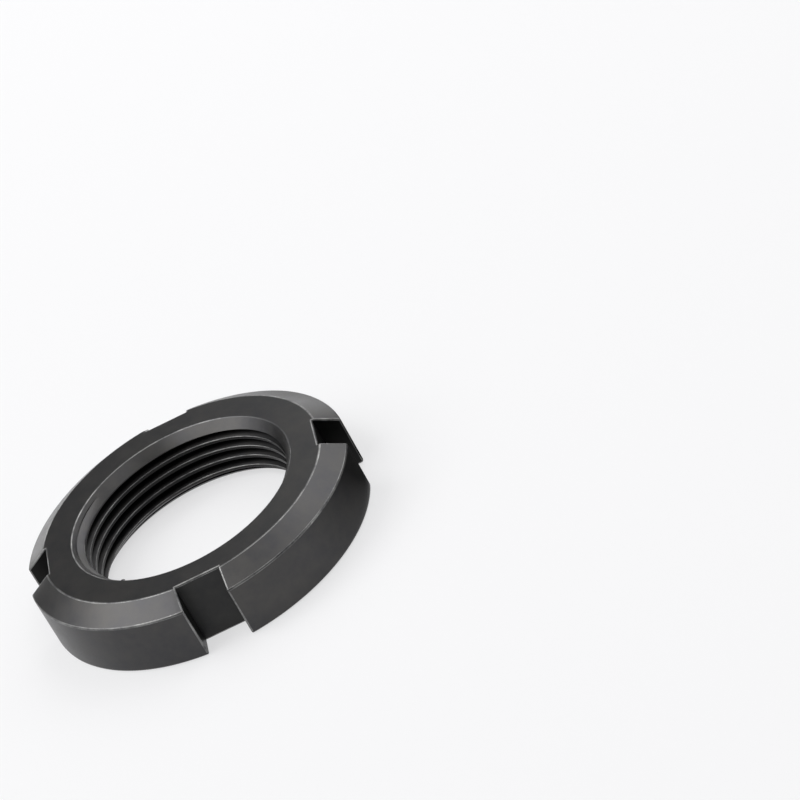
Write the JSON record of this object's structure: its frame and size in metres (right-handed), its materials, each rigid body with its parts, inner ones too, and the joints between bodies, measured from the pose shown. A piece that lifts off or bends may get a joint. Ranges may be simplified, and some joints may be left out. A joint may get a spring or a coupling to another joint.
{
  "type": "slotted round nut",
  "caption": "Flat round nut with a fine thread, a chamfered upper face and open slots across its rim for a hook spanner.",
  "frame": {"origin": "centre of the plain bearing face, on the thread's axis", "axes": "+Z along the thread's axis, from the plain bearing face to the chamfered face; +X and +Y out through the middle of spanner slots"},
  "size_m": [0.0416, 0.0416, 0.0084],
  "materials": {
    "black_oxide_steel": "turned and milled steel with a thin satin black oxide"
  },
  "bodies": {
    "root": {"nut": "black_oxide_steel"}
  },
  "joints": []
}
